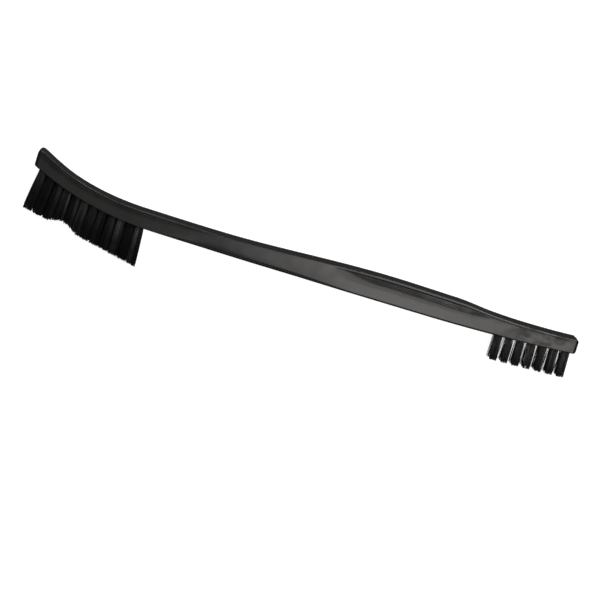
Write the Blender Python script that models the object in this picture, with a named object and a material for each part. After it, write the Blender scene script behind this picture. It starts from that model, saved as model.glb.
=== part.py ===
"""A double-ended car cleaning brush.

One moulded plastic handle has a large bent head at one end and a small straight head at the other. Nylon
tufts stand in drilled holes in both heads, and flat wire anchors hold their folded roots.

The brush lies on its side. +X runs along the handle from the large head's toe to the small head's tip, +Y
goes from the bristles to the back, and +Z goes across the handle's width. Lengths are in metres.
"""

import math
import random
from collections import namedtuple

import bmesh
import bpy
from mathutils import Euler, Matrix, Vector

MM = 0.001

# Lengths of the handle's four stretches, from the toe to the tip
LARGE_HEAD_LENGTH = 38.0 * MM
NECK_LENGTH = 62.0 * MM
GRIP_LENGTH = 52.0 * MM
SMALL_HEAD_LENGTH = 28.0 * MM

# Width and thicknesses of the handle
WIDTH = 11.0 * MM
TOE_THICKNESS = 5.4 * MM
HEAD_THICKNESS = 4.85 * MM
HEEL_THICKNESS = 5.4 * MM
NECK_THICKNESS = 5.72 * MM
GRIP_THICKNESS = 7.75 * MM
GRIP_HEEL_THICKNESS = 7.3 * MM
GRIP_END_THICKNESS = 6.0 * MM
SMALL_HEAD_THICKNESS = 5.25 * MM
TIP_THICKNESS = 4.6 * MM

# Where those thicknesses lie, as shares of the stretch that they are on
HEAD_WAIST_SHARE = 0.36
NECK_WAIST_SHARE = 0.43
GRIP_CREST_SHARE = 0.35
GRIP_HEEL_SHARE = 0.77
SMALL_HEAD_ROOT_SHARE = 0.36

# How the underside bends towards the back: a tight bend in the large head and two slight ones
HEAD_BEND_RADIUS = 98.0 * MM
NECK_BEND_RADIUS = 1400.0 * MM
NECK_BEND_SHARE = 0.68
TAIL_BEND_RADIUS = 620.0 * MM
TAIL_BEND_SHARE = 0.58

# Radii along the handle's long edges
HEAD_BACK_EDGE = 0.3 * MM
HEAD_UNDER_EDGE = 0.4 * MM
NECK_BACK_EDGE = 0.35 * MM
NECK_UNDER_EDGE = 1.4 * MM
GRIP_BACK_EDGE = 0.25 * MM
GRIP_UNDER_EDGE = 0.7 * MM
MOST_EDGE_SHARE = 0.47

# How much further the neck's sides draw in towards the underside
NECK_CROWN = 0.33 * MM

# Where the long edges change from one radius to the next, as shares of the neck and of the grip
NECK_ROUND_START_SHARE = 0.35
NECK_ROUND_END_SHARE = 0.75
GRIP_EDGE_SHARE = 0.15

# Radii of the corners at the two ends
TOE_BACK_CORNER = 2.0 * MM
TOE_UNDER_CORNER = 0.35 * MM
TIP_BACK_CORNER = 1.0 * MM
TIP_UNDER_CORNER = 0.8 * MM
PLAN_CORNER = 1.1 * MM

# How deep the flute is on each side of the grip, and the faint hollow under the back's rim on both heads
FLUTE_DEPTH = 0.7 * MM
RIM_DEPTH = 0.15 * MM

# Where the hollow fades on the neck, as shares of the neck
RIM_FADE_SHARE = 0.2
RIM_END_SHARE = 0.4

# Where the flute begins and ends, as shares of the grip
FLUTE_START_SHARE = -0.08
FLUTE_FULL_SHARE = 0.3
FLUTE_FADE_SHARE = 0.72
FLUTE_END_SHARE = 1.04

# The flute's hollow from the underside up: how far up the side, and how much of its depth
FLUTE_SHARES = (
    (0.42, 0.0),
    (0.6, 0.12),
    (0.69, 0.28),
    (0.85, 0.72),
    (0.915, 1.0),
    (0.93, 0.0),
)

# The drilled holes: the large head's middle row stands between the columns of its outer rows
ROWS = 3
ROW_PITCH = 3.1 * MM
LARGE_COLUMNS = 12
SMALL_COLUMNS = 7
HOLE_DIAMETER = 2.6 * MM
LEAST_WALL = 0.4 * MM
HOLE_FLOOR = 1.6 * MM
HOLE_OVERRUN = 1.0 * MM
TOE_MARGIN = 3.05 * MM
HEEL_MARGIN = 1.0 * MM
SMALL_HEEL_MARGIN = 3.35 * MM
TIP_MARGIN = 2.7 * MM

# How far the tufts lean along the handle, in degrees from square to it
TOE_LEAN = -6.7
HEEL_LEAN = 2.0
SMALL_LEAN = 2.0

# The wire anchor that each tuft is folded over, set across its hole
ANCHOR_WIDTH = 3.0 * MM
ANCHOR_HEIGHT = 1.1 * MM
ANCHOR_GAUGE = 0.4 * MM
ANCHOR_TURN = 45.0
FOLD_HEIGHT = 0.4 * MM

# The tufts: a folded root, a middle strand and a ring of strands, each standing for a lock of bristles
CLEARANCE = 0.3 * MM
ANCHOR_CLEARANCE = 0.2 * MM
ROOT_RECESS = 0.35 * MM
ROOT_SIDES = 8
RING_STRANDS = 6
STRAND_SIDES = 3
STRAND_RADIUS = 0.22 * MM
STRAND_TIP_RADIUS = 0.34 * MM
STRAND_SUNK = 0.3 * MM
RING_SHARE = 0.6
SPREAD_SHARE = 0.36

# The trim of the bristles
TOE_TUFT_LENGTH = 13.1 * MM
HEEL_TUFT_LENGTH = 12.15 * MM
SMALL_TUFT_LENGTH = 8.0 * MM
TIP_TUFT_LENGTH = 8.4 * MM
NOTCH_DEPTH = 1.85 * MM
NOTCH_START_SHARE = 0.13
NOTCH_END_SHARE = 0.49
RAGGEDNESS = 0.25 * MM
TRIM_PASSES = 4
SEED = 7

# Colours and roughness, for a look at the plain solids
HANDLE_COLOUR = (0.009, 0.009, 0.009)
HANDLE_ROUGHNESS = 0.38
BRISTLE_COLOUR = (0.005, 0.005, 0.005)
BRISTLE_ROUGHNESS = 0.45

# How finely the handle's surface is divided
LARGE_HEAD_STEPS = 9
NECK_STEPS = 9
GRIP_STEPS = 13
SMALL_HEAD_STEPS = 4
CORNER_STEPS = 4
EDGE_STEPS = 4
SHARP_DEGREES = 35.0

LENGTH = LARGE_HEAD_LENGTH + NECK_LENGTH + GRIP_LENGTH + SMALL_HEAD_LENGTH
TOE_X = -LENGTH / 2
NECK_X = TOE_X + LARGE_HEAD_LENGTH
GRIP_X = NECK_X + NECK_LENGTH
SMALL_HEAD_X = GRIP_X + GRIP_LENGTH
TIP_X = SMALL_HEAD_X + SMALL_HEAD_LENGTH
MIDDLE_Z = WIDTH / 2

# A tuft: its hole's mouth and radius, its lean in radians, the function that cuts it and the room it has
Tuft = namedtuple("Tuft", "name mouth hole_radius lean depth trim room")


def along(start, end, share):
    return start + (end - start) * share


THICKNESS_KNOTS = (
    (TOE_X, TOE_THICKNESS),
    (along(TOE_X, NECK_X, HEAD_WAIST_SHARE), HEAD_THICKNESS),
    (NECK_X, HEEL_THICKNESS),
    (along(NECK_X, GRIP_X, NECK_WAIST_SHARE), NECK_THICKNESS),
    (along(GRIP_X, SMALL_HEAD_X, GRIP_CREST_SHARE), GRIP_THICKNESS),
    (along(GRIP_X, SMALL_HEAD_X, GRIP_HEEL_SHARE), GRIP_HEEL_THICKNESS),
    (SMALL_HEAD_X, GRIP_END_THICKNESS),
    (along(SMALL_HEAD_X, TIP_X, SMALL_HEAD_ROOT_SHARE), SMALL_HEAD_THICKNESS),
    (TIP_X, TIP_THICKNESS),
)


def edge_knots(head_edge, neck_edge, grip_edge):
    """Where a long edge has each of its radii, from the toe to the tip."""
    return (
        (NECK_X, head_edge),
        (along(NECK_X, GRIP_X, NECK_ROUND_START_SHARE), neck_edge),
        (along(NECK_X, GRIP_X, NECK_ROUND_END_SHARE), neck_edge),
        (along(GRIP_X, SMALL_HEAD_X, GRIP_EDGE_SHARE), grip_edge),
        (SMALL_HEAD_X, grip_edge),
        (along(SMALL_HEAD_X, TIP_X, SMALL_HEAD_ROOT_SHARE), head_edge),
    )


BACK_EDGE_KNOTS = edge_knots(HEAD_BACK_EDGE, NECK_BACK_EDGE, GRIP_BACK_EDGE)
UNDER_EDGE_KNOTS = edge_knots(HEAD_UNDER_EDGE, NECK_UNDER_EDGE, GRIP_UNDER_EDGE)
CROWN_KNOTS = (
    (NECK_X, 0.0),
    (along(NECK_X, GRIP_X, NECK_ROUND_START_SHARE), NECK_CROWN),
    (along(NECK_X, GRIP_X, NECK_ROUND_END_SHARE), NECK_CROWN),
    (along(GRIP_X, SMALL_HEAD_X, GRIP_EDGE_SHARE), 0.0),
)
FLUTE_KNOTS = (
    (along(NECK_X, GRIP_X, RIM_FADE_SHARE), RIM_DEPTH),
    (along(NECK_X, GRIP_X, RIM_END_SHARE), 0.0),
    (along(GRIP_X, SMALL_HEAD_X, FLUTE_START_SHARE), 0.0),
    (along(GRIP_X, SMALL_HEAD_X, FLUTE_FULL_SHARE), FLUTE_DEPTH),
    (along(GRIP_X, SMALL_HEAD_X, FLUTE_FADE_SHARE), FLUTE_DEPTH),
    (along(GRIP_X, SMALL_HEAD_X, FLUTE_END_SHARE), RIM_DEPTH),
)


def knot_slopes(knots):
    """The slope at each knot that keeps the curve from overshooting: level at the ends and at each turn."""
    rates = [(b[1] - a[1]) / (b[0] - a[0]) for a, b in zip(knots, knots[1:])]
    slopes = [0.0]
    for before, after in zip(rates, rates[1:]):
        same_way = before * after > 0
        slopes.append(2 * before * after / (before + after) if same_way else 0.0)
    slopes.append(0.0)
    return slopes


def smooth_through(knots, x):
    """A smooth curve through the knots, read at x, and level beyond them."""
    if x <= knots[0][0]:
        return knots[0][1]
    if x >= knots[-1][0]:
        return knots[-1][1]
    slopes = knot_slopes(knots)
    i = max(n for n, knot in enumerate(knots) if knot[0] <= x)
    (x0, y0), (x1, y1) = knots[i], knots[i + 1]
    span = x1 - x0
    t = (x - x0) / span
    bend_0 = t * (1 - t) ** 2 * span * slopes[i]
    bend_1 = -(t**2) * (1 - t) * span * slopes[i + 1]
    ease = t * t * (3 - 2 * t)
    return y0 + (y1 - y0) * ease + bend_0 + bend_1


def rise(distance, radius):
    """How far an arc has left its tangent, this far along the tangent."""
    distance = max(distance, 0.0)
    return radius - math.sqrt(radius**2 - distance**2)


def underside(x):
    """The height of the handle's underside."""
    neck_bend_x = along(NECK_X, GRIP_X, NECK_BEND_SHARE)
    tail_bend_x = along(GRIP_X, SMALL_HEAD_X, TAIL_BEND_SHARE)
    towards_toe = rise(NECK_X - x, HEAD_BEND_RADIUS) + rise(neck_bend_x - x, NECK_BEND_RADIUS)
    return towards_toe + rise(x - tail_bend_x, TAIL_BEND_RADIUS)


def thickness(x):
    """The handle's thickness along Y, which the large head's slope makes greater than across its plate."""
    slope_sine = max(NECK_X - x, 0.0) / HEAD_BEND_RADIUS
    return smooth_through(THICKNESS_KNOTS, x) / math.sqrt(1 - slope_sine**2)


def corner_inset(distance, radius):
    """How far a round corner draws a face in, at this distance from the end."""
    left = max(radius - distance, 0.0)
    return radius - math.sqrt(radius**2 - left**2)


def arc_points(centre_y, centre_z, radius, start_degrees):
    """A quarter turn from start_degrees, as points (y, z), where 0 degrees is +Z and 90 degrees is +Y."""
    points = []
    for i in range(EDGE_STEPS + 1):
        angle = math.radians(start_degrees + 90 * i / EDGE_STEPS)
        points.append((centre_y + radius * math.sin(angle), centre_z + radius * math.cos(angle)))
    return points


def half_section(x):
    """One half of the handle's section at x, from the underside round to the back, z from the middle."""
    from_toe = x - TOE_X
    from_tip = TIP_X - x
    low = underside(x)
    high = low + thickness(x)
    low += corner_inset(from_toe, TOE_UNDER_CORNER) + corner_inset(from_tip, TIP_UNDER_CORNER)
    high -= corner_inset(from_toe, TOE_BACK_CORNER) + corner_inset(from_tip, TIP_BACK_CORNER)
    half = WIDTH / 2 - corner_inset(from_toe, PLAN_CORNER) - corner_inset(from_tip, PLAN_CORNER)
    most_edge = min(high - low, half) * MOST_EDGE_SHARE
    under_edge = min(smooth_through(UNDER_EDGE_KNOTS, x), most_edge)
    back_edge = min(smooth_through(BACK_EDGE_KNOTS, x), most_edge)
    side_low = low + under_edge
    side_high = high - back_edge
    depth = smooth_through(FLUTE_KNOTS, x)
    crown = smooth_through(CROWN_KNOTS, x)
    points = arc_points(side_low, half - crown - under_edge, under_edge, -90)
    for up_share, depth_share in FLUTE_SHARES:
        inset = depth * depth_share + crown * (1 - up_share) ** 2
        points.append((along(side_low, side_high, up_share), half - inset))
    return points + arc_points(side_high, half - back_edge, back_edge, 0)


def stations():
    """The places along X where the handle has a section: close together round the end corners."""
    corner = max(PLAN_CORNER, TOE_BACK_CORNER, TIP_BACK_CORNER)
    places = []
    for i in range(CORNER_STEPS):
        places.append(TOE_X + corner * (1 - math.cos(math.pi / 2 * i / CORNER_STEPS)))
    stretches = (
        (TOE_X + corner, NECK_X, LARGE_HEAD_STEPS),
        (NECK_X, GRIP_X, NECK_STEPS),
        (GRIP_X, SMALL_HEAD_X, GRIP_STEPS),
        (SMALL_HEAD_X, TIP_X - corner, SMALL_HEAD_STEPS),
    )
    for start, end, steps in stretches:
        places += [along(start, end, i / steps) for i in range(steps)]
    for i in reversed(range(CORNER_STEPS + 1)):
        places.append(TIP_X - corner * (1 - math.cos(math.pi / 2 * i / CORNER_STEPS)))
    return places


def clear_scene():
    for old in list(bpy.data.objects):
        bpy.data.objects.remove(old, do_unlink=True)


def new_collection(name):
    made = bpy.data.collections.new(name)
    bpy.context.scene.collection.children.link(made)
    return made


def plastic(name, colour, roughness):
    """A dark plastic: its colour, and how matt it is."""
    made = bpy.data.materials.new(name)
    made.use_nodes = True
    shader = made.node_tree.nodes["Principled BSDF"]
    shader.inputs["Base Color"].default_value = (*colour, 1.0)
    shader.inputs["Roughness"].default_value = roughness
    shader.inputs["Metallic"].default_value = 0.0
    made.diffuse_color = (*colour, 1.0)
    return made


def add_object(name, shape, collection, parent):
    """Turns a bmesh into a named object under the parent."""
    mesh = bpy.data.meshes.new(name)
    shape.to_mesh(mesh)
    shape.free()
    made = bpy.data.objects.new(name, mesh)
    made.parent = parent
    collection.objects.link(made)
    return made


def finish(obj, material):
    """Gives a piece its material, and smooth shading except across its sharp edges."""
    obj.data.materials.append(material)
    obj.data.shade_smooth()
    obj.data.set_sharp_from_angle(angle=math.radians(SHARP_DEGREES))


def add_helper(name, shape, collection, parent):
    """An object that only cuts another or is joined to it."""
    made = add_object(name, shape, collection, parent)
    made.hide_render = True
    made.display_type = "WIRE"
    return made


def add_boolean(target, operation, other):
    step = target.modifiers.new(other.name, "BOOLEAN")
    step.operation = operation
    step.object = other
    step.solver = "EXACT"


def handle_body():
    """The handle without its holes: a loft from section to section, closed at both ends."""
    shape = bmesh.new()
    rings = []
    for x in stations():
        half = half_section(x)
        ring = [shape.verts.new((x, y, MIDDLE_Z + z)) for y, z in half]
        ring += [shape.verts.new((x, y, MIDDLE_Z - z)) for y, z in reversed(half)]
        rings.append(ring)
    for one, two in zip(rings, rings[1:]):
        for i in range(len(one)):
            j = (i + 1) % len(one)
            shape.faces.new((one[i], one[j], two[j], two[i]))
    shape.faces.new(rings[0])
    shape.faces.new(rings[-1])
    bmesh.ops.recalc_face_normals(shape, faces=shape.faces)
    return shape


def column_places(first, last, count):
    return [along(first, last, i / (count - 1)) for i in range(count)]


def halfway(values):
    """The values halfway between each of these and the next."""
    return [(one + two) / 2 for one, two in zip(values, values[1:])]


def notch(share):
    """How much shorter the large head's bristles are cut, this share of the way from toe to heel."""
    t = (share - NOTCH_START_SHARE) / (NOTCH_END_SHARE - NOTCH_START_SHARE)
    if not 0 < t < 1:
        return 0.0
    return NOTCH_DEPTH * math.sin(math.pi * t) ** 2


def large_trim(x):
    """The height at which the large head's bristles are cut: a straight line with a shallow notch."""
    first = TOE_X + TOE_MARGIN
    last = NECK_X - HEEL_MARGIN
    share = (x - first) / (last - first)
    start = underside(first) - TOE_TUFT_LENGTH
    end = underside(last) - HEEL_TUFT_LENGTH
    return along(start, end, share) + notch(share)


def small_trim(x):
    """The height at which the small head's bristles are cut: a little longer towards the tip."""
    share = (x - SMALL_HEAD_X) / (TIP_X - SMALL_HEAD_X)
    return underside(x) - along(SMALL_TUFT_LENGTH, TIP_TUFT_LENGTH, share)


def head_layouts():
    """Each head's name, its columns' places and leans, if its middle row is staggered, and its trim."""
    large = column_places(TOE_X + TOE_MARGIN, NECK_X - HEEL_MARGIN, LARGE_COLUMNS)
    small = column_places(SMALL_HEAD_X + SMALL_HEEL_MARGIN, TIP_X - TIP_MARGIN, SMALL_COLUMNS)
    large_leans = column_places(TOE_LEAN, HEEL_LEAN, LARGE_COLUMNS)
    small_leans = column_places(SMALL_LEAN, SMALL_LEAN, SMALL_COLUMNS)
    return (
        ("large", large, large_leans, True, large_trim),
        ("small", small, small_leans, False, small_trim),
    )


def tuft_places():
    """Every tuft of both heads, row by row."""
    tufts = []
    for head, columns, leans, staggered, trim in head_layouts():
        room = min(columns[1] - columns[0], ROW_PITCH)
        hole_radius = min(HOLE_DIAMETER, room - LEAST_WALL) / 2
        for row in range(ROWS):
            z = MIDDLE_Z + (row - (ROWS - 1) / 2) * ROW_PITCH
            between_columns = staggered and row == ROWS // 2
            row_columns = halfway(columns) if between_columns else columns
            row_leans = halfway(leans) if between_columns else leans
            for column, (x, degrees) in enumerate(zip(row_columns, row_leans)):
                name = f"{head}_tuft_row{row + 1}_{column + 1:02d}"
                lean = math.radians(degrees)
                mouth = Vector((x, underside(x), z))
                depth = (thickness(x) - HOLE_FLOOR) / math.cos(lean)
                tufts.append(Tuft(name, mouth, hole_radius, lean, depth, trim, room))
    return tufts


def hole_matrix(tuft):
    """The place of a tuft's own axes: the origin at its hole's mouth, and +Z out along the bristles."""
    turn = Euler((math.pi / 2, 0.0, tuft.lean)).to_matrix().to_4x4()
    return Matrix.Translation(tuft.mouth) @ turn


def add_prism(shape, place, sides, low, high, low_radius, high_radius):
    """Adds a prism or slim cone that runs from low to high, two points in the axes of place."""
    axis = high - low
    turn = axis.to_track_quat("Z", "X").to_matrix().to_4x4()
    bmesh.ops.create_cone(
        shape,
        cap_ends=True,
        segments=sides,
        radius1=low_radius,
        radius2=high_radius,
        depth=axis.length,
        matrix=place @ Matrix.Translation((low + high) / 2) @ turn,
    )


def add_anchor(shape, place, depth, clearance):
    """Adds a flat wire anchor set across its hole or, with a clearance, the slot that it has cut."""
    middle = CLEARANCE + FOLD_HEIGHT + ANCHOR_HEIGHT / 2 - depth
    turn = Matrix.Rotation(math.radians(ANCHOR_TURN), 4, "Z")
    sides = [side + 2 * clearance for side in (ANCHOR_WIDTH, ANCHOR_GAUGE, ANCHOR_HEIGHT)]
    place = place @ Matrix.Translation((0, 0, middle)) @ turn @ Matrix.Diagonal((*sides, 1))
    bmesh.ops.create_cube(shape, size=1, matrix=place)


def strand_feet():
    """Where the strands leave their root: one in its middle and a ring, as places on a unit circle."""
    turns = [2 * math.pi * i / RING_STRANDS for i in range(RING_STRANDS)]
    return [(0.0, 0.0)] + [(math.cos(turn), math.sin(turn)) for turn in turns]


def strand_tip(tuft, spread_x, spread_y, shorter):
    """Where a strand of this spread meets the trim, less what it is cut shorter, in the tuft's own axes."""
    height = 0.0
    for _ in range(TRIM_PASSES):
        x = tuft.mouth.x + spread_x * math.cos(tuft.lean) + height * math.sin(tuft.lean)
        drop = tuft.mouth.y + spread_x * math.sin(tuft.lean) - tuft.trim(x) - shorter
        height = drop / math.cos(tuft.lean)
    return Vector((spread_x, spread_y, height))


def tuft_strands(tuft, chance):
    """A tuft's loose strands, which fan out from inside its root up to the trim."""
    shape = bmesh.new()
    foot_ring = (tuft.hole_radius - CLEARANCE) * RING_SHARE
    tip_ring = tuft.room * SPREAD_SHARE
    for foot_x, foot_y in strand_feet():
        foot = Vector((foot_x * foot_ring, foot_y * foot_ring, -ROOT_RECESS - STRAND_SUNK))
        tip = strand_tip(tuft, foot_x * tip_ring, foot_y * tip_ring, chance.uniform(0, RAGGEDNESS))
        add_prism(shape, Matrix(), STRAND_SIDES, foot, tip, STRAND_RADIUS, STRAND_TIP_RADIUS)
    return shape


def tuft_root(tuft):
    """A tuft's folded root, from just above its hole's floor to just inside the hole's mouth."""
    shape = bmesh.new()
    radius = tuft.hole_radius - CLEARANCE
    low = Vector((0, 0, CLEARANCE - tuft.depth))
    high = Vector((0, 0, -ROOT_RECESS))
    add_prism(shape, Matrix(), ROOT_SIDES, low, high, radius, radius)
    return shape


def tuft_anchor(tuft):
    shape = bmesh.new()
    add_anchor(shape, Matrix(), tuft.depth, 0.0)
    return shape


def hole_cutter(tufts):
    shape = bmesh.new()
    for tuft in tufts:
        low = Vector((0, 0, -tuft.depth))
        high = Vector((0, 0, HOLE_OVERRUN))
        add_prism(shape, hole_matrix(tuft), ROOT_SIDES, low, high, tuft.hole_radius, tuft.hole_radius)
    return shape


def slot_cutter(tufts):
    shape = bmesh.new()
    for tuft in tufts:
        add_anchor(shape, hole_matrix(tuft), tuft.depth, ANCHOR_CLEARANCE)
    return shape


def build_handle(parts, helpers, root, tufts):
    """The moulded handle with its drilled holes."""
    handle = add_object("handle", handle_body(), parts, root)
    finish(handle, plastic("handle_plastic", HANDLE_COLOUR, HANDLE_ROUGHNESS))
    for name, shape in (("tuft_holes", hole_cutter(tufts)), ("anchor_slots", slot_cutter(tufts))):
        add_boolean(handle, "DIFFERENCE", add_helper(name, shape, helpers, root))
    return handle


def build_tuft(tuft, parts, helpers, root, nylon, chance):
    """One tuft: its root joined to the anchor that holds it and to its strands."""
    made = add_object(tuft.name, tuft_root(tuft), parts, root)
    finish(made, nylon)
    made.matrix_local = hole_matrix(tuft)
    for kind, shape in (("anchor", tuft_anchor(tuft)), ("strands", tuft_strands(tuft, chance))):
        helper = add_helper(f"{tuft.name}_{kind}", shape, helpers, root)
        helper.matrix_local = hole_matrix(tuft)
        add_boolean(made, "UNION", helper)
    return made


def centre_on_origin(root, objects):
    """Moves everything so that the origin is under the brush's middle, on the surface that it lies on."""
    bpy.context.view_layer.update()
    graph = bpy.context.evaluated_depsgraph_get()
    points = []
    for obj in objects:
        made = obj.evaluated_get(graph)
        points += [made.matrix_world @ vertex.co for vertex in made.data.vertices]
    low = Vector([min(point[axis] for point in points) for axis in range(3)])
    high = Vector([max(point[axis] for point in points) for axis in range(3)])
    root.location = -Vector(((low.x + high.x) / 2, (low.y + high.y) / 2, low.z))


def main():
    clear_scene()
    parts = new_collection("car_cleaning_brush")
    helpers = new_collection("cutters_and_joined_shapes")
    helpers.hide_render = True
    root = bpy.data.objects.new("brush", None)
    parts.objects.link(root)
    tufts = tuft_places()
    nylon = plastic("bristle_nylon", BRISTLE_COLOUR, BRISTLE_ROUGHNESS)
    chance = random.Random(SEED)
    made = [build_handle(parts, helpers, root, tufts)]
    made += [build_tuft(tuft, parts, helpers, root, nylon, chance) for tuft in tufts]
    centre_on_origin(root, made)


main()
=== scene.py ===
"""The looks of a double-ended car cleaning brush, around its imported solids.

The handle is one fine moulded shell with drilled holes, and each tuft is a bundle of nylon filaments that
rises from its own hole. The brush lies on its side on a white floor, and the camera looks down on it.
Lengths are in metres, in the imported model's frame.
"""

import math
import random
from collections import namedtuple

import bmesh
import bpy
from mathutils import Euler, Matrix, Vector, noise


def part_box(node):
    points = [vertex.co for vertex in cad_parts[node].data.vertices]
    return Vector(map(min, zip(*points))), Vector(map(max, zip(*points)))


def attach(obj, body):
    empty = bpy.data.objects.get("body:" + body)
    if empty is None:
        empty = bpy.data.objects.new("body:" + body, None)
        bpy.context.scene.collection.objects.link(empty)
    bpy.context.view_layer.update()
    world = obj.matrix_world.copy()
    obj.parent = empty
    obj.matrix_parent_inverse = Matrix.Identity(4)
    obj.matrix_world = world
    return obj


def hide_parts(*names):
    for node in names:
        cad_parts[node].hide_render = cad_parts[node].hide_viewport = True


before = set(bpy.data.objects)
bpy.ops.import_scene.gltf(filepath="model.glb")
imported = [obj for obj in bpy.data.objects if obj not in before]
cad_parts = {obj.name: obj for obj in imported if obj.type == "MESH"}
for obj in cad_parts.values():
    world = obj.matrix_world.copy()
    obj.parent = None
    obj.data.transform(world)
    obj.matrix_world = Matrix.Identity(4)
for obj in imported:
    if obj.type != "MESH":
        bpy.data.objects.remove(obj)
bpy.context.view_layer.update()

HANDLE_LOW, HANDLE_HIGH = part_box("handle")

MM = 0.001

# Where the handle lies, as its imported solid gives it
TOE_X = HANDLE_LOW.x
TIP_X = HANDLE_HIGH.x
BASE_Y = HANDLE_LOW.y
MIDDLE_Z = (HANDLE_LOW.z + HANDLE_HIGH.z) / 2
HALF_WIDTH = (HANDLE_HIGH.z - HANDLE_LOW.z) / 2

# The handle's stretches, from the toe to the tip
LARGE_HEAD_LENGTH = 38.0 * MM
NECK_LENGTH = 62.0 * MM
GRIP_LENGTH = 52.0 * MM
NECK_X = TOE_X + LARGE_HEAD_LENGTH
GRIP_X = NECK_X + NECK_LENGTH
SMALL_HEAD_X = GRIP_X + GRIP_LENGTH

# Thicknesses of the handle, and where they lie as shares of their stretch
TOE_THICKNESS = 5.4 * MM
HEAD_THICKNESS = 4.85 * MM
HEEL_THICKNESS = 5.4 * MM
NECK_THICKNESS = 5.72 * MM
GRIP_THICKNESS = 7.75 * MM
GRIP_HEEL_THICKNESS = 7.3 * MM
GRIP_END_THICKNESS = 6.0 * MM
SMALL_HEAD_THICKNESS = 5.25 * MM
TIP_THICKNESS = 4.6 * MM
HEAD_WAIST_SHARE = 0.36
NECK_WAIST_SHARE = 0.43
GRIP_CREST_SHARE = 0.35
GRIP_HEEL_SHARE = 0.77
SMALL_HEAD_ROOT_SHARE = 0.36

# How the underside bends towards the back
HEAD_BEND_RADIUS = 98.0 * MM
NECK_BEND_RADIUS = 1400.0 * MM
NECK_BEND_SHARE = 0.68
TAIL_BEND_RADIUS = 620.0 * MM
TAIL_BEND_SHARE = 0.58

# Radii along the long edges, how far the neck's sides are crowned, and where these change
HEAD_BACK_EDGE = 0.3 * MM
HEAD_UNDER_EDGE = 0.4 * MM
NECK_BACK_EDGE = 0.35 * MM
NECK_UNDER_EDGE = 1.4 * MM
GRIP_BACK_EDGE = 0.25 * MM
GRIP_UNDER_EDGE = 0.7 * MM
MOST_EDGE_SHARE = 0.47
NECK_CROWN = 0.33 * MM
NECK_ROUND_START_SHARE = 0.35
NECK_ROUND_END_SHARE = 0.75
GRIP_EDGE_SHARE = 0.15

# Radii of the corners at the two ends
TOE_BACK_CORNER = 2.0 * MM
TOE_UNDER_CORNER = 0.35 * MM
TIP_BACK_CORNER = 1.0 * MM
TIP_UNDER_CORNER = 0.8 * MM
PLAN_CORNER = 1.1 * MM

# The flute along each side of the grip, under its flange, and the fine rim along both heads
FLUTE_DEPTH = 0.7 * MM
RIM_DEPTH = 0.15 * MM
RIM_FADE_SHARE = 0.2
RIM_END_SHARE = 0.4
FLUTE_START_SHARE = -0.08
FLUTE_FULL_SHARE = 0.3
FLUTE_FADE_SHARE = 0.72
FLUTE_END_SHARE = 1.04
FLUTE_SHARES = ((0.42, 0.0), (0.6, 0.12), (0.69, 0.28), (0.85, 0.72), (0.915, 1.0), (0.93, 0.0))

# What moulding leaves: the back's draft, a fine parting line, and sides that are slightly out of true
BACK_DRAFT = math.radians(1.5)
PARTING_WIDTH = 0.16 * MM
PARTING_HEIGHT = 0.05 * MM
RIPPLE_LENGTH = 3.4 * MM
HEAD_RIPPLE = 0.01 * MM
GRIP_RIPPLE = 0.03 * MM
SMALL_HEAD_RIPPLE = 0.08 * MM
SIDE_OFFSET = 40.0 * MM

# How finely the handle is divided
STATION_PITCH = 0.75 * MM
CORNER_STEPS = 10
FLAT_STEPS = 7
EDGE_STEPS = 8
SIDE_STEPS = 40
SHARP_ANGLE = math.radians(32)

# The drilled holes
ROWS = 3
ROW_PITCH = 3.1 * MM
LARGE_COLUMNS = 12
SMALL_COLUMNS = 7
HOLE_DIAMETER = 2.6 * MM
HOLE_FLOOR = 1.6 * MM
HOLE_OVERRUN = 1.0 * MM
HOLE_SIDES = 28
TOE_MARGIN = 3.05 * MM
HEEL_MARGIN = 1.0 * MM
SMALL_HEEL_MARGIN = 3.35 * MM
TIP_MARGIN = 2.7 * MM

# How far the tufts lean along the handle, from square to it
TOE_LEAN = math.radians(-6.7)
HEEL_LEAN = math.radians(2.0)
SMALL_LEAN = math.radians(2.0)

# The filaments of a tuft: how many, row by row, and how thick
LARGE_FILAMENTS = (88, 88, 88)
SMALL_FILAMENTS = (52, 50, 92)
LARGE_FILAMENT_RADIUS = 0.068 * MM
SMALL_FILAMENT_RADIUS = 0.05 * MM
THINNEST_SHARE = 0.88
THICKEST_SHARE = 1.1
FILAMENT_SIDES = 5
FILAMENT_STEPS = 6
TIP_SHARP_ANGLE = math.radians(80)
BUNDLE_CLEARANCE = 0.03 * MM
FOLD_CLEARANCE = 0.35 * MM
GOLDEN_TURN = math.pi * (3 - math.sqrt(5))
LOOSENESS = 0.2
SWAY = 0.14 * MM

# How far a tuft spreads towards its tips in each row, as shares of its room, and how square it grows there
LARGE_SPREAD_SHARES = (0.6, 0.58, 0.55)
SMALL_SPREAD_SHARES = (0.58, 0.52, 0.43)
LARGE_SQUARE_SHARE = 0.8
SMALL_SQUARE_SHARE = 0.2

# A tuft spreads with this power of the way along it, so fastest near its root
SPREAD_POWER = 0.6

# A filament's tone is from the least up to 1, times its lock's, which runs outwards from the lock tone to 1
# The small head's higher tones give more of its filaments the painted highlight and more shine, so its
# bristles show paler than the large head's
LARGE_LEAST_TONE = 0.93
SMALL_LEAST_TONE = 0.88
LARGE_LOCK_TONE = 0.78
SMALL_LOCK_TONE = 0.94

# The locks that the filaments gather into at their tips, as places and shares on a tuft's unit disc
LOCKS = 4
LOCK_NEAREST_SHARE = 0.35
LOCK_FURTHEST_SHARE = 0.75
LOCK_PULL_SHARE = 0.25
LOCK_UNEVEN_SHARE = 0.5

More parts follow.
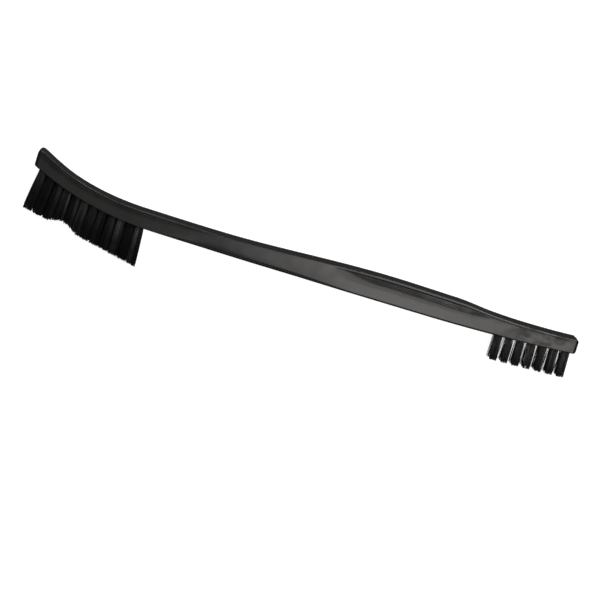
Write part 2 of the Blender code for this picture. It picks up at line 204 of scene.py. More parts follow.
# The trim of the bristles
TOE_TUFT_LENGTH = 13.1 * MM
HEEL_TUFT_LENGTH = 12.15 * MM
SMALL_TUFT_LENGTH = 8.0 * MM
TIP_TUFT_LENGTH = 8.4 * MM
NOTCH_DEPTH = 1.85 * MM
NOTCH_START_SHARE = 0.13
NOTCH_END_SHARE = 0.49
RAGGEDNESS = 0.5 * MM
STRAY_CHANCE = 0.02
STRAY_LENGTH = 0.35 * MM
STRAY_REACH = 0.3 * MM
TRIM_PASSES = 4
SEED = 11

# The handle's plastic: its darkest and lightest black, its roughness and specular, and its patches' size
PLASTIC_DARK = (0.0068, 0.0066, 0.0062, 1)
PLASTIC_LIGHT = (0.0095, 0.0092, 0.0086, 1)
PLASTIC_SMOOTHEST = 0.16
PLASTIC_ROUGHEST = 0.195
PLASTIC_SPECULAR = 0.5
PATCH_SIZE = 6.0 * MM

# Its fine grain, and the faint marks that its flow left, loose along X and tight across it
GRAIN_SIZE = 0.22 * MM
GRAIN_HEIGHT = 0.001 * MM
FLOW_SIZE = 1.1 * MM
FLOW_TIGHTNESS = (0.06, 1.0, 1.0)
FLOW_HEIGHT = 0.004 * MM

# The smears that fade in along the small head: the noise's range for one, and the specular that it costs
WORN_FADE = 10.0 * MM
SMEAR_SIZE = 3.2 * MM
SMEAR_TIGHTNESS = (0.8, 1.4, 1.0)
SMEAR_START = 0.4
SMEAR_FULL = 0.62
SMEAR_LOSS = 0.28

# The bristles' nylon: its darkest and lightest black, the pale grey of the highlight painted on its
# glossiest filaments near their roots, and how rough it is
NYLON_DARK = (0.0025, 0.0025, 0.0025, 1)
NYLON_LIGHT = (0.007, 0.007, 0.0068, 1)
NYLON_PAINTED_HIGHLIGHT = (0.12, 0.12, 0.115, 1)
ROOT_ROUGHNESS = 0.34
TIP_ROUGHNESS = 0.46

# Filaments shine above one tone and carry a painted highlight, a pale grey in their colour, above another,
# and both fade over these shares of a toe tuft
GLOSSY_TONE = 0.8
PAINTED_HIGHLIGHT_TONE = 0.95
LEAST_SPECULAR = 0.13
FADE_START_SHARE = 0.12
FADE_END_SHARE = 0.55
FADED_SHARE = 0.2

# How fine a noise is, the range that most of it lies in, and how tight one is that is even all round
FINE_DETAIL = 4.0
USUAL_DETAIL = 3.0
SOFT_DETAIL = 2.0
NOISE_LOW = 0.3
NOISE_HIGH = 0.7
EVEN = (1.0, 1.0, 1.0)

# The camera, the width that its frame takes in at the brush's upper side, and how near and far it sees
FRAME_WIDTH = 188.5 * MM
CAMERA_DISTANCE = 900.0 * MM
CAMERA_TILT = math.radians(7.4)
CAMERA_YAW = math.radians(3.6)
CAMERA_ROLL = math.radians(16.87)
TARGET_X = 1.66 * MM
TARGET_RISE = -6.58 * MM
CLIP_START_SHARE = 0.01
CLIP_END_SHARE = 100.0

# Blender wants the sensor's width in millimetres
SENSOR_WIDTH = 36.0

# The studio
FLOOR_SIZE = 4.0
FLOOR_GAP = 0.05 * MM
# The floor's colour to diffuse and mirrored rays: near black, a painted shade that the handle and the
# bristles mirror and that bounces next to no light
FLOOR_PAINTED_SHADE = 0.03
FLOOR_LIFT = 0.75
FLOOR_GLOW = 1.25
ROOM_STRENGTH = 0.05
PANEL_HEIGHT = 0.35

# How much of the white is mirrored: the photo's black plastic shows next to none of it along its back
MIRRORED_WHITE = 0.01

# Tints of the lamps, and the white of the floor's glow and of the room
NEUTRAL = (1.0, 1.0, 1.0)
WARM = (1.0, 0.96, 0.93)
WHITE = (1.0, 1.0, 1.0, 1.0)

# Level lamps above the brush, which its sides mirror: name, X and Y from and to, radiance and tint
PANELS = (
    ("toe_panel", -0.20, -0.017, -0.15, 0.0, 0.3, NEUTRAL),
    ("neck_start_panel", -0.010, 0.004, -0.15, 0.06, 2.0, NEUTRAL),
    ("neck_panel", 0.004, 0.025, -0.15, 0.06, 1.3, NEUTRAL),
    ("grip_panel", 0.025, 0.093, -0.15, -0.02, 3.2, WARM),
    ("grip_fade_panel", 0.025, 0.093, -0.02, 0.06, 2.0, WARM),
    ("grip_edge_panel", 0.025, 0.060, 0.06, 0.075, 2.4, WARM),
    ("tip_panel", 0.093, 0.26, -0.15, 0.032, 2.6, WARM),
    ("tip_rim_panel", 0.108, 0.26, 0.032, 0.062, 2.6, WARM),
    ("toe_back_panel", -0.30, -0.032, 0.12, 0.645, 4.2, NEUTRAL),
    ("grip_back_panel", -0.032, 0.10, 0.075, 0.513, 0.2, NEUTRAL),
    ("tip_back_panel", 0.115, 0.30, 0.097, 0.58, 7.0, NEUTRAL),
    ("crease_panel", 0.065, 0.16, 0.5, 0.9, 14.0, NEUTRAL),
)

# A wide lamp beyond the bristles' tips, which their cut ends and the lower edges catch
FRONT_CENTRE = (0.35, -0.9, 0.45)
FRONT_AIM = (0.35, 0.0, 0.0)
FRONT_SIZE = (0.9, 0.5)
FRONT_RADIANCE = 0.4

# Where the Mix node keeps its colour sockets
COLOUR_A = 6
COLOUR_B = 7
COLOUR_RESULT = 2

Growth = namedtuple("Growth", "trim filaments radius spread_shares square_share least_tone lock_tone")
Tuft = namedtuple("Tuft", "name mouth lean depth room row growth")


def along(start, end, share):
    return start + (end - start) * share


THICKNESS_KNOTS = (
    (TOE_X, TOE_THICKNESS),
    (along(TOE_X, NECK_X, HEAD_WAIST_SHARE), HEAD_THICKNESS),
    (NECK_X, HEEL_THICKNESS),
    (along(NECK_X, GRIP_X, NECK_WAIST_SHARE), NECK_THICKNESS),
    (along(GRIP_X, SMALL_HEAD_X, GRIP_CREST_SHARE), GRIP_THICKNESS),
    (along(GRIP_X, SMALL_HEAD_X, GRIP_HEEL_SHARE), GRIP_HEEL_THICKNESS),
    (SMALL_HEAD_X, GRIP_END_THICKNESS),
    (along(SMALL_HEAD_X, TIP_X, SMALL_HEAD_ROOT_SHARE), SMALL_HEAD_THICKNESS),
    (TIP_X, TIP_THICKNESS),
)


def edge_knots(head_edge, neck_edge, grip_edge):
    """Where a long edge has each of its radii, from the toe to the tip."""
    return (
        (NECK_X, head_edge),
        (along(NECK_X, GRIP_X, NECK_ROUND_START_SHARE), neck_edge),
        (along(NECK_X, GRIP_X, NECK_ROUND_END_SHARE), neck_edge),
        (along(GRIP_X, SMALL_HEAD_X, GRIP_EDGE_SHARE), grip_edge),
        (SMALL_HEAD_X, grip_edge),
        (along(SMALL_HEAD_X, TIP_X, SMALL_HEAD_ROOT_SHARE), head_edge),
    )


BACK_EDGE_KNOTS = edge_knots(HEAD_BACK_EDGE, NECK_BACK_EDGE, GRIP_BACK_EDGE)
UNDER_EDGE_KNOTS = edge_knots(HEAD_UNDER_EDGE, NECK_UNDER_EDGE, GRIP_UNDER_EDGE)
CROWN_KNOTS = (
    (NECK_X, 0.0),
    (along(NECK_X, GRIP_X, NECK_ROUND_START_SHARE), NECK_CROWN),
    (along(NECK_X, GRIP_X, NECK_ROUND_END_SHARE), NECK_CROWN),
    (along(GRIP_X, SMALL_HEAD_X, GRIP_EDGE_SHARE), 0.0),
)
FLUTE_KNOTS = (
    (along(NECK_X, GRIP_X, RIM_FADE_SHARE), RIM_DEPTH),
    (along(NECK_X, GRIP_X, RIM_END_SHARE), 0.0),
    (along(GRIP_X, SMALL_HEAD_X, FLUTE_START_SHARE), 0.0),
    (along(GRIP_X, SMALL_HEAD_X, FLUTE_FULL_SHARE), FLUTE_DEPTH),
    (along(GRIP_X, SMALL_HEAD_X, FLUTE_FADE_SHARE), FLUTE_DEPTH),
    (along(GRIP_X, SMALL_HEAD_X, FLUTE_END_SHARE), RIM_DEPTH),
)
RIPPLE_KNOTS = (
    (NECK_X, HEAD_RIPPLE),
    (GRIP_X, GRIP_RIPPLE),
    (along(GRIP_X, SMALL_HEAD_X, GRIP_HEEL_SHARE), GRIP_RIPPLE),
    (SMALL_HEAD_X, SMALL_HEAD_RIPPLE),
)


def knot_slopes(knots):
    """The slope at each knot that keeps the curve from overshooting: level at the ends and at each turn."""
    rates = [(b[1] - a[1]) / (b[0] - a[0]) for a, b in zip(knots, knots[1:])]
    slopes = [0.0]
    for before, after in zip(rates, rates[1:]):
        same_way = before * after > 0
        slopes.append(2 * before * after / (before + after) if same_way else 0.0)
    slopes.append(0.0)
    return slopes


def smooth_through(knots, x):
    """A smooth curve through the knots, read at x, and level beyond them."""
    if x <= knots[0][0]:
        return knots[0][1]
    if x >= knots[-1][0]:
        return knots[-1][1]
    slopes = knot_slopes(knots)
    i = max(n for n, knot in enumerate(knots) if knot[0] <= x)
    (x0, y0), (x1, y1) = knots[i], knots[i + 1]
    span = x1 - x0
    t = (x - x0) / span
    bend_0 = t * (1 - t) ** 2 * span * slopes[i]
    bend_1 = -(t**2) * (1 - t) * span * slopes[i + 1]
    ease = t * t * (3 - 2 * t)
    return y0 + (y1 - y0) * ease + bend_0 + bend_1


def rise(distance, radius):
    """How far an arc has left its tangent, this far along the tangent."""
    distance = max(distance, 0.0)
    return radius - math.sqrt(radius**2 - distance**2)


def underside(x):
    """The height of the handle's underside along Y."""
    neck_bend_x = along(NECK_X, GRIP_X, NECK_BEND_SHARE)
    tail_bend_x = along(GRIP_X, SMALL_HEAD_X, TAIL_BEND_SHARE)
    towards_toe = rise(NECK_X - x, HEAD_BEND_RADIUS) + rise(neck_bend_x - x, NECK_BEND_RADIUS)
    return BASE_Y + towards_toe + rise(x - tail_bend_x, TAIL_BEND_RADIUS)


def thickness(x):
    """The handle's thickness along Y, which the large head's slope makes greater than across its plate."""
    slope_sine = max(NECK_X - x, 0.0) / HEAD_BEND_RADIUS
    return smooth_through(THICKNESS_KNOTS, x) / math.sqrt(1 - slope_sine**2)


def corner_inset(distance, radius):
    """How far a round corner draws a face in, at this distance from the end."""
    left = max(radius - distance, 0.0)
    return radius - math.sqrt(radius**2 - left**2)


def ripple(x, y, side, up_share):
    """How far the side stands out of true, fading out at its two edges."""
    strength = smooth_through(RIPPLE_KNOTS, x) * 4 * up_share * (1 - up_share)
    return strength * noise.noise(Vector((x, y, side * SIDE_OFFSET)) / RIPPLE_LENGTH)


def flat_places(half):
    """Places across half of the back or underside, from the middle out, with the parting line's first."""
    places = [0.0, PARTING_WIDTH / 2, PARTING_WIDTH]
    return places + [along(PARTING_WIDTH, half, i / FLAT_STEPS) for i in range(1, FLAT_STEPS)]


def parting_rise(z):
    return PARTING_HEIGHT * max(0.0, 1 - z / PARTING_WIDTH)


def edge_turns():
    """The angles of a long edge's points, from its one face round to the other."""
    return [math.pi / 2 * i / EDGE_STEPS for i in range(EDGE_STEPS + 1)]


def section_limits(x):
    """The section's lowest and highest Y at x and its half width, drawn in by the corners at both ends."""
    from_toe = x - TOE_X
    from_tip = TIP_X - x
    low = underside(x)
    high = low + thickness(x)
    low += corner_inset(from_toe, TOE_UNDER_CORNER) + corner_inset(from_tip, TIP_UNDER_CORNER)
    high -= corner_inset(from_toe, TOE_BACK_CORNER) + corner_inset(from_tip, TIP_BACK_CORNER)
    half = HALF_WIDTH - corner_inset(from_toe, PLAN_CORNER) - corner_inset(from_tip, PLAN_CORNER)
    return low, high, half


def half_section(x, side):
    """One half of the handle's section at x, from the middle of the underside round to that of the back."""
    low, high, half = section_limits(x)
    most_edge = min(high - low, half) * MOST_EDGE_SHARE
    under_edge = min(smooth_through(UNDER_EDGE_KNOTS, x), most_edge)
    back_edge = min(smooth_through(BACK_EDGE_KNOTS, x), most_edge)
    side_low = low + under_edge
    side_high = high - back_edge
    ridge = math.tan(BACK_DRAFT) * (half - back_edge)
    depth = smooth_through(FLUTE_KNOTS, x)
    crown = smooth_through(CROWN_KNOTS, x)
    under_half = half - crown
    points = [(low - parting_rise(z), z) for z in flat_places(under_half - under_edge)]
    for turn in edge_turns():
        z = under_half - under_edge * (1 - math.sin(turn))
        points.append((side_low - under_edge * math.cos(turn), z))
    for i in range(1, SIDE_STEPS):
        up_share = i / SIDE_STEPS
        y = along(side_low, side_high, up_share)
        hollow = depth * smooth_through(FLUTE_SHARES, up_share) + crown * (1 - up_share) ** 2
        points.append((y, half - hollow + ripple(x, y, side, up_share)))
    for turn in edge_turns():
        z = half - back_edge * (1 - math.cos(turn))
        points.append((side_high + back_edge * math.sin(turn), z))
    for z in reversed(flat_places(half - back_edge)):
        points.append((high + ridge - math.tan(BACK_DRAFT) * z + parting_rise(z), z))
    return points


def stations():
    """The places along X where the handle has a section: close together round the end corners."""
    corner = max(PLAN_CORNER, TOE_BACK_CORNER, TIP_BACK_CORNER)
    bends = [corner * (1 - math.cos(math.pi / 2 * i / CORNER_STEPS)) for i in range(CORNER_STEPS)]
    count = round((TIP_X - TOE_X - 2 * corner) / STATION_PITCH)
    places = [TOE_X + bend for bend in bends]
    places += [along(TOE_X + corner, TIP_X - corner, i / count) for i in range(count + 1)]
    return places + [TIP_X - bend for bend in reversed(bends)]


def column_places(first, last, count):
    return [along(first, last, i / (count - 1)) for i in range(count)]


def halfway(values):
    """The values halfway between each of these and the next."""
    return [(one + two) / 2 for one, two in zip(values, values[1:])]


def notch(share):
    """How much shorter the large head's bristles are cut, this share of the way from toe to heel."""
    t = (share - NOTCH_START_SHARE) / (NOTCH_END_SHARE - NOTCH_START_SHARE)
    if not 0 < t < 1:
        return 0.0
    return NOTCH_DEPTH * math.sin(math.pi * t) ** 2


def large_trim(x):
    """The height at which the large head's bristles are cut: a straight line with a shallow notch."""
    first = TOE_X + TOE_MARGIN
    last = NECK_X - HEEL_MARGIN
    share = (x - first) / (last - first)
    start = underside(first) - TOE_TUFT_LENGTH
    end = underside(last) - HEEL_TUFT_LENGTH
    return along(start, end, share) + notch(share)


def small_trim(x):
    """The height at which the small head's bristles are cut: a little longer towards the tip."""
    share = (x - SMALL_HEAD_X) / (TIP_X - SMALL_HEAD_X)
    return underside(x) - along(SMALL_TUFT_LENGTH, TIP_TUFT_LENGTH, share)


def head_layouts():
    """Each head's name, its columns' places and leans, if its middle row is staggered, and its growth."""
    large = column_places(TOE_X + TOE_MARGIN, NECK_X - HEEL_MARGIN, LARGE_COLUMNS)
    small = column_places(SMALL_HEAD_X + SMALL_HEEL_MARGIN, TIP_X - TIP_MARGIN, SMALL_COLUMNS)
    large_leans = column_places(TOE_LEAN, HEEL_LEAN, LARGE_COLUMNS)
    small_leans = column_places(SMALL_LEAN, SMALL_LEAN, SMALL_COLUMNS)
    large_growth = Growth(
        trim=large_trim,
        filaments=LARGE_FILAMENTS,
        radius=LARGE_FILAMENT_RADIUS,
        spread_shares=LARGE_SPREAD_SHARES,
        square_share=LARGE_SQUARE_SHARE,
        least_tone=LARGE_LEAST_TONE,
        lock_tone=LARGE_LOCK_TONE,
    )
    small_growth = Growth(
        trim=small_trim,
        filaments=SMALL_FILAMENTS,
        radius=SMALL_FILAMENT_RADIUS,
        spread_shares=SMALL_SPREAD_SHARES,
        square_share=SMALL_SQUARE_SHARE,
        least_tone=SMALL_LEAST_TONE,
        lock_tone=SMALL_LOCK_TONE,
    )
    return (
        ("large", large, large_leans, True, large_growth),
        ("small", small, small_leans, False, small_growth),
    )


def tuft_places():
    """Every tuft of both heads, row by row, under its node's name."""
    tufts = []
    for head, columns, leans, staggered, growth in head_layouts():
        room = min(columns[1] - columns[0], ROW_PITCH)
        for row in range(ROWS):
            z = MIDDLE_Z + (row - (ROWS - 1) / 2) * ROW_PITCH
            between_columns = staggered and row == ROWS // 2
            row_columns = halfway(columns) if between_columns else columns
            row_leans = halfway(leans) if between_columns else leans
            for column, (x, lean) in enumerate(zip(row_columns, row_leans)):
                name = f"{head}_tuft_row{row + 1}_{column + 1:02d}"
                depth = (thickness(x) - HOLE_FLOOR) / math.cos(lean)
                mouth = Vector((x, underside(x), z))
                tufts.append(Tuft(name, mouth, lean, depth, room, row, growth))
    return tufts


def hole_matrix(tuft):
    """The place of a tuft's own axes: the origin at its hole's mouth, and +Z out along the bristles."""
    turn = Euler((math.pi / 2, 0.0, tuft.lean)).to_matrix().to_4x4()
    return Matrix.Translation(tuft.mouth) @ turn


def new_object(name, data):
    made = bpy.data.objects.new(name, data)
    bpy.context.scene.collection.objects.link(made)
    return made


def handle_mesh():
    """The handle before it is drilled: a fine loft from section to section, closed at both ends."""
    shape = bmesh.new()
    rings = []
    for x in stations():
        near = half_section(x, 1)
        far = half_section(x, -1)[1:-1]
        ring = [shape.verts.new((x, y, MIDDLE_Z + z)) for y, z in near]
        ring += [shape.verts.new((x, y, MIDDLE_Z - z)) for y, z in reversed(far)]
        rings.append(ring)
    for one, two in zip(rings, rings[1:]):
        for i in range(len(one)):
            j = (i + 1) % len(one)
            shape.faces.new((one[i], one[j], two[j], two[i]))
    shape.faces.new(rings[0])
    shape.faces.new(rings[-1])
    bmesh.ops.recalc_face_normals(shape, faces=shape.faces)
    mesh = bpy.data.meshes.new("handle_moulding")
    shape.to_mesh(mesh)
    shape.free()
    return mesh


def hole_mesh(tufts):
    shape = bmesh.new()
    for tuft in tufts:
        middle = (HOLE_OVERRUN - tuft.depth) / 2
        bmesh.ops.create_cone(
            shape,
            cap_ends=True,
            segments=HOLE_SIDES,
            radius1=HOLE_DIAMETER / 2,
            radius2=HOLE_DIAMETER / 2,
            depth=HOLE_OVERRUN + tuft.depth,
            matrix=hole_matrix(tuft) @ Matrix.Translation((0, 0, middle)),
        )
    mesh = bpy.data.meshes.new("holes")
    shape.to_mesh(mesh)
    shape.free()
    return mesh


def build_handle(tufts, material):
    """The moulded handle, drilled, which stands for the handle's node."""
    shell = new_object("handle_moulding", handle_mesh())
    cutter = new_object("holes", hole_mesh(tufts))
    drill = shell.modifiers.new("holes", "BOOLEAN")
    drill.operation = "DIFFERENCE"
    drill.solver = "EXACT"
    drill.object = cutter
    graph = bpy.context.evaluated_depsgraph_get()
    drilled = bpy.data.meshes.new_from_object(shell.evaluated_get(graph))
    shell.modifiers.clear()
    shell.data = drilled
    bpy.data.objects.remove(cutter, do_unlink=True)
    drilled.materials.clear()
    drilled.materials.append(material)
    drilled.shade_smooth()
    drilled.set_sharp_from_angle(angle=SHARP_ANGLE)
    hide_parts("handle")
    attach(shell, "root")
    return shell


def on_disc(reach, turn):
    return Vector((reach * math.cos(turn), reach * math.sin(turn)))


def bundle_feet(count, chance):
    """Where the filaments leave the hole, on a unit disc: a sunflower's pattern, a little shaken."""
    feet = []
    for i in range(count):
        reach = math.sqrt((i + chance.uniform(LOOSENESS, 1 - LOOSENESS)) / count)
        turn = i * GOLDEN_TURN + chance.uniform(-LOOSENESS, LOOSENESS)
        feet.append(on_disc(reach, turn))
    return feet


def lock_centres(chance):
    """Where the filaments gather at their tips, as places on a unit disc."""
    start = chance.uniform(0, math.tau)
    turns = [start + math.tau * i / LOCKS for i in range(LOCKS)]
    return [on_disc(chance.uniform(LOCK_NEAREST_SHARE, LOCK_FURTHEST_SHARE), turn) for turn in turns]


def squared(place, share):
    """The place, moved out by a share of the way from a round section to a square one."""
    longest = max(abs(place.x), abs(place.y))
    return place * along(1.0, place.length / longest, share)


def trimmed_height(tuft, across, shorter):
    """How far out along the tuft a filament that ends at this place across it meets the trim."""
    height = 0.0
    for _ in range(TRIM_PASSES):
        x = tuft.mouth.x + across.x * math.cos(tuft.lean) + height * math.sin(tuft.lean)
        drop = tuft.mouth.y + across.x * math.sin(tuft.lean) - tuft.growth.trim(x) - shorter
        height = drop / math.cos(tuft.lean)
    return height


def nearest_lock(foot, locks):
    return min(locks, key=lambda centre: (centre - foot).length)


def filament_tone(tuft, foot, locks, chance):
    """A filament's own tone, lower in the locks that gather near the tuft's middle."""
    past_nearest = nearest_lock(foot, locks).length - LOCK_NEAREST_SHARE
    outwards = past_nearest / (LOCK_FURTHEST_SHARE - LOCK_NEAREST_SHARE)
    return chance.uniform(tuft.growth.least_tone, 1) * along(tuft.growth.lock_tone, 1, outwards)


def filament_end(tuft, foot, locks, chance):
    """Where a filament ends across its tuft, and how much shorter than the trim it is."""
    nearest = nearest_lock(foot, locks)
    pull = LOCK_PULL_SHARE * chance.uniform(1 - LOCK_UNEVEN_SHARE, 1 + LOCK_UNEVEN_SHARE)
    spread = tuft.room * tuft.growth.spread_shares[tuft.row]
    end = squared(foot.lerp(nearest, pull), tuft.growth.square_share) * spread
    if chance.random() < STRAY_CHANCE:
        return end + on_disc(STRAY_REACH, chance.uniform(0, math.tau)), -STRAY_LENGTH * chance.random()
    return end, RAGGEDNESS * chance.random() ** 2


def filament_path(tuft, foot, locks, chance):
    """The middle line of one filament, from its fold in the hole to its cut tip, in the tuft's own axes."""
    start = foot * (HOLE_DIAMETER / 2 - BUNDLE_CLEARANCE - tuft.growth.radius)
    end, shorter = filament_end(tuft, foot, locks, chance)
    height = trimmed_height(tuft, end, shorter)
    sway = on_disc(SWAY * chance.random(), chance.uniform(0, math.tau))
    points = [start.to_3d() + Vector((0, 0, FOLD_CLEARANCE - tuft.depth))]
    for i in range(FILAMENT_STEPS + 1):
        t = i / FILAMENT_STEPS
        across = start.lerp(end, t**SPREAD_POWER) + sway * math.sin(math.pi * t)
        points.append(Vector((across.x, across.y, height * t)))
    return points


def filament_faces(first, rings):
    """The faces of a filament whose rings of points start at this number, closed at both ends."""
    faces = []
    for ring in range(rings - 1):
        for side in range(FILAMENT_SIDES):
            one = first + ring * FILAMENT_SIDES + side
            two = first + ring * FILAMENT_SIDES + (side + 1) % FILAMENT_SIDES
            faces.append((one, two, two + FILAMENT_SIDES, one + FILAMENT_SIDES))
    last = first + (rings - 1) * FILAMENT_SIDES
    faces.append(tuple(reversed(range(first, first + FILAMENT_SIDES))))
    faces.append(tuple(range(last, last + FILAMENT_SIDES)))
    return faces


def tuft_mesh(tuft, chance):
    """All the filaments of one tuft, with each one's own tone, and how far from its root each point lies."""
    points, faces, tones, heights = [], [], [], []
    locks = lock_centres(chance)
    place = hole_matrix(tuft)
    for foot in bundle_feet(tuft.growth.filaments[tuft.row], chance):
        tone = filament_tone(tuft, foot, locks, chance)
        radius = tuft.growth.radius * chance.uniform(THINNEST_SHARE, THICKEST_SHARE)
        path = filament_path(tuft, foot, locks, chance)
        faces += filament_faces(len(points), len(path))
        for centre in path:
            for side in range(FILAMENT_SIDES):
                turn = math.tau * side / FILAMENT_SIDES
                spot = centre + Vector((math.cos(turn), math.sin(turn), 0)) * radius
                points.append(place @ spot)
                tones.append(tone)
                heights.append(max(0.0, centre.z) / TOE_TUFT_LENGTH)
    mesh = bpy.data.meshes.new(tuft.name)
    mesh.from_pydata(points, [], faces)
    for name, values in (("filament_tone", tones), ("filament_height", heights)):
        layer = mesh.attributes.new(name, "FLOAT", "POINT")
        layer.data.foreach_set("value", values)
    mesh.shade_smooth()
    mesh.set_sharp_from_angle(angle=TIP_SHARP_ANGLE)
    return mesh


def build_tuft(tuft, material, chance):
    """A tuft of filaments, which stands for its node."""
    made = new_object(f"bristles_{tuft.name}", tuft_mesh(tuft, chance))
    made.data.materials.append(material)
    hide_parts(tuft.name)
    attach(made, "root")
    return made


class Shader:
    """A material under construction, with short ways to add and join its nodes."""

    def __init__(self, name):
        self.material = bpy.data.materials.new(name)
        self.material.use_nodes = True
        self.nodes = self.material.node_tree.nodes
        self.links = self.material.node_tree.links
        self.surface = self.nodes["Principled BSDF"]

    def add(self, kind, inputs=None, **settings):
        node = self.nodes.new(kind)
        for name, value in settings.items():
            setattr(node, name, value)
        for name, value in (inputs or {}).items():
            self.put(value, node.inputs[name])
        return node

    def put(self, value, socket):
        """Joins an output to the socket, or sets the socket to a plain value."""
        if isinstance(value, bpy.types.NodeSocket):
            self.links.new(value, socket)
        else:
            socket.default_value = value

    def noise(self, place, size, detail=USUAL_DETAIL, tightness=EVEN):
        """Smooth noise whose patches are about this size, over their tightness along each axis."""
        scaled = [tight / size for tight in tightness]
        mapped = self.add("ShaderNodeMapping", {"Vector": place, "Scale": scaled})
        inputs = {"Vector": mapped.outputs[0], "Scale": 1.0, "Detail": detail}
        return self.add("ShaderNodeTexNoise", inputs).outputs["Fac"]

    def between(self, value, low, high, start=NOISE_LOW, end=NOISE_HIGH):
        """The value, spread from the range between start and end to low and high, and held at those."""
        inputs = {"Value": value, "From Min": start, "From Max": end, "To Min": low, "To Max": high}
        return self.add("ShaderNodeMapRange", inputs).outputs["Result"]

    def product(self, one, two):
        return self.add("ShaderNodeMath", {0: one, 1: two}, operation="MULTIPLY").outputs[0]

    def blend(self, share, one, two):
        mixed = self.add("ShaderNodeMix", {"Factor": share}, data_type="RGBA")
        self.put(one, mixed.inputs[COLOUR_A])
        self.put(two, mixed.inputs[COLOUR_B])
        return mixed.outputs[COLOUR_RESULT]

    def bump(self, height, distance, normal=None):
        inputs = {"Height": height, "Distance": distance, "Strength": 1.0}
        if normal is not None:
            inputs["Normal"] = normal
        return self.add("ShaderNodeBump", inputs).outputs["Normal"]


def handle_material():
    """Black semi-gloss polypropylene: patches, fine grain, marks along it, and smears on its small head."""
    made = Shader("handle_plastic")
    place = made.add("ShaderNodeTexCoord").outputs["Object"]
    patches = made.noise(place, PATCH_SIZE)
    grain = made.noise(place, GRAIN_SIZE, SOFT_DETAIL)
    flow = made.noise(place, FLOW_SIZE, FINE_DETAIL, FLOW_TIGHTNESS)
    colour = made.blend(made.between(patches, 0.0, 1.0), PLASTIC_DARK, PLASTIC_LIGHT)
    made.put(colour, made.surface.inputs["Base Color"])
    roughness = made.between(patches, PLASTIC_SMOOTHEST, PLASTIC_ROUGHEST)
    made.put(roughness, made.surface.inputs["Roughness"])
    along_x = made.add("ShaderNodeSeparateXYZ", {0: place}).outputs[0]
    worn = made.between(along_x, 0.0, 1.0, SMALL_HEAD_X, SMALL_HEAD_X + WORN_FADE)
    smears = made.noise(place, SMEAR_SIZE, SOFT_DETAIL, SMEAR_TIGHTNESS)
    loss = made.product(worn, made.between(smears, 0.0, SMEAR_LOSS, SMEAR_START, SMEAR_FULL))
    level = made.add("ShaderNodeMath", {0: PLASTIC_SPECULAR, 1: loss}, operation="SUBTRACT").outputs[0]
    made.put(level, made.surface.inputs["Specular IOR Level"])
    rough = made.bump(grain, GRAIN_HEIGHT)
    made.put(made.bump(flow, FLOW_HEIGHT, rough), made.surface.inputs["Normal"])
    return made.material


def bristle_material():
    """Black nylon: each filament has its own tone, and the highest are glossy near their roots and carry a
    painted highlight there, a pale grey in their colour.
    """
    made = Shader("bristle_nylon")
    tone = made.add("ShaderNodeAttribute", attribute_name="filament_tone").outputs["Fac"]
    height = made.add("ShaderNodeAttribute", attribute_name="filament_height").outputs["Fac"]
    black = made.blend(tone, NYLON_DARK, NYLON_LIGHT)
    shine = made.between(tone, LEAST_SPECULAR, 1.0, GLOSSY_TONE, 1.0)
    near_root = made.between(height, 1.0, FADED_SHARE, FADE_START_SHARE, FADE_END_SHARE)
    made.put(made.product(shine, near_root), made.surface.inputs["Specular IOR Level"])
    # Filaments above the highlight tone get a pale grey painted into their colour near the root: a painted
    # highlight
    painted_highlight = made.product(made.between(tone, 0.0, 1.0, PAINTED_HIGHLIGHT_TONE, 1.0), near_root)
    made.put(made.blend(painted_highlight, black, NYLON_PAINTED_HIGHLIGHT), made.surface.inputs["Base Color"])
    roughness = made.between(height, ROOT_ROUGHNESS, TIP_ROUGHNESS, 0.0, 1.0)
    made.put(roughness, made.surface.inputs["Roughness"])
    return made.material


def white_share(tree):
    """How much of the white a ray sees: all from the camera or through glass, and a little in a mirror."""
    ray = tree.nodes.new("ShaderNodeLightPath")
    mirrored = tree.nodes.new("ShaderNodeMath")
    mirrored.operation = "MULTIPLY_ADD"
    mirrored.inputs[1].default_value = MIRRORED_WHITE
    tree.links.new(ray.outputs["Is Glossy Ray"], mirrored.inputs[0])
    tree.links.new(ray.outputs["Is Transmission Ray"], mirrored.inputs[2])
    seen = tree.nodes.new("ShaderNodeMath")
    seen.operation = "ADD"
    seen.use_clamp = True
    tree.links.new(ray.outputs["Is Camera Ray"], seen.inputs[0])
    tree.links.new(mirrored.outputs[0], seen.inputs[1])
    return seen.outputs[0]


def floor_material():
    """A floor that the camera sees lifted towards white, keeping a part of its shadow; to diffuse and
    mirrored rays it is near black, a painted shade that the handle and bristles mirror.
    """
    made = Shader("floor_white_with_painted_shade")
    white = white_share(made.material.node_tree)
    made.put(made.between(white, FLOOR_PAINTED_SHADE, 1.0, 0.0, 1.0), made.surface.inputs["Base Color"])
    made.surface.inputs["Roughness"].default_value = 1.0
    made.surface.inputs["Specular IOR Level"].default_value = 0.0
    glow = made.add("ShaderNodeEmission", {"Color": WHITE, "Strength": FLOOR_GLOW})
    mixed = made.add("ShaderNodeMixShader", {"Fac": made.between(white, 0.0, FLOOR_LIFT, 0.0, 1.0)})
    made.links.new(made.surface.outputs[0], mixed.inputs[1])
    made.links.new(glow.outputs[0], mixed.inputs[2])
    made.links.new(mixed.outputs[0], made.nodes["Material Output"].inputs["Surface"])
    return made.material


def build_floor():
    shape = bmesh.new()
    low = Matrix.Translation((0, 0, -FLOOR_GAP))
    bmesh.ops.create_grid(shape, x_segments=1, y_segments=1, size=FLOOR_SIZE / 2, matrix=low)
    mesh = bpy.data.meshes.new("floor")
    shape.to_mesh(mesh)
    shape.free()
    made = new_object("floor", mesh)
    made.data.materials.append(floor_material())


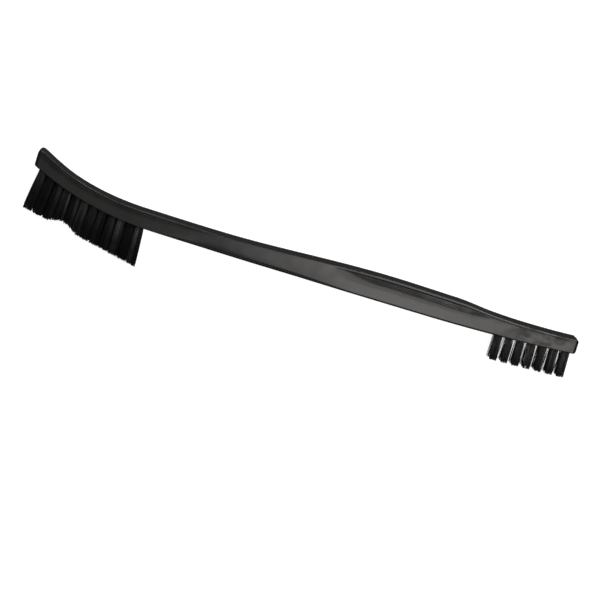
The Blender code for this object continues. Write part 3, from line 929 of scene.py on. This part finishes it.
def add_softbox(name, centre, aim, width, height, radiance, tint):
    """A soft rectangular lamp that faces the aim."""
    lamp = bpy.data.lights.new(name, "AREA")
    lamp.shape = "RECTANGLE"
    lamp.size = width
    lamp.size_y = height
    lamp.energy = radiance * math.pi * width * height
    lamp.color = tint
    made = new_object(name, lamp)
    made.location = centre
    made.rotation_euler = (Vector(aim) - Vector(centre)).to_track_quat("-Z", "Y").to_euler()
    made.visible_camera = False


def build_lights():
    for name, low_x, high_x, low_y, high_y, radiance, tint in PANELS:
        place = Vector(((low_x + high_x) / 2, (low_y + high_y) / 2, 0.0))
        centre = place + Vector((0.0, 0.0, PANEL_HEIGHT))
        add_softbox(name, centre, place, high_x - low_x, high_y - low_y, radiance, tint)
    add_softbox("front_softbox", FRONT_CENTRE, FRONT_AIM, *FRONT_SIZE, FRONT_RADIANCE, NEUTRAL)


def build_world():
    """A dim room, which the camera sees as white."""
    world = bpy.data.worlds.new("studio")
    bpy.context.scene.world = world
    world.use_nodes = True
    nodes, links = world.node_tree.nodes, world.node_tree.links
    background = nodes["Background"]
    background.inputs["Color"].default_value = WHITE
    level = nodes.new("ShaderNodeMapRange")
    level.inputs["To Min"].default_value = ROOM_STRENGTH
    links.new(white_share(world.node_tree), level.inputs["Value"])
    links.new(level.outputs["Result"], background.inputs["Strength"])


def build_camera():
    """Looks down on the brush, a little from its back and its large head, and rolls so that it slopes."""
    lens = bpy.data.cameras.new("camera")
    lens.sensor_width = SENSOR_WIDTH
    lens.lens = SENSOR_WIDTH * CAMERA_DISTANCE / FRAME_WIDTH
    camera = new_object("camera", lens)
    level = math.cos(CAMERA_TILT)
    forward = Vector((math.sin(CAMERA_YAW) * level, -math.sin(CAMERA_TILT), -math.cos(CAMERA_YAW) * level))
    across = Vector((math.cos(CAMERA_ROLL), math.sin(CAMERA_ROLL), 0.0))
    right = (across - forward * across.dot(forward)).normalized()
    turn = Matrix((right, right.cross(forward), -forward)).transposed()
    target = Vector((TARGET_X, BASE_Y + TARGET_RISE, HANDLE_HIGH.z))
    camera.matrix_world = Matrix.Translation(target - forward * CAMERA_DISTANCE) @ turn.to_4x4()
    lens.clip_start = CAMERA_DISTANCE * CLIP_START_SHARE
    lens.clip_end = CAMERA_DISTANCE * CLIP_END_SHARE
    bpy.context.scene.camera = camera


def main():
    bpy.context.scene.view_settings.view_transform = "Standard"
    tufts = tuft_places()
    build_handle(tufts, handle_material())
    nylon = bristle_material()
    chance = random.Random(SEED)
    for tuft in tufts:
        build_tuft(tuft, nylon, chance)
    build_floor()
    build_lights()
    build_world()
    build_camera()


main()
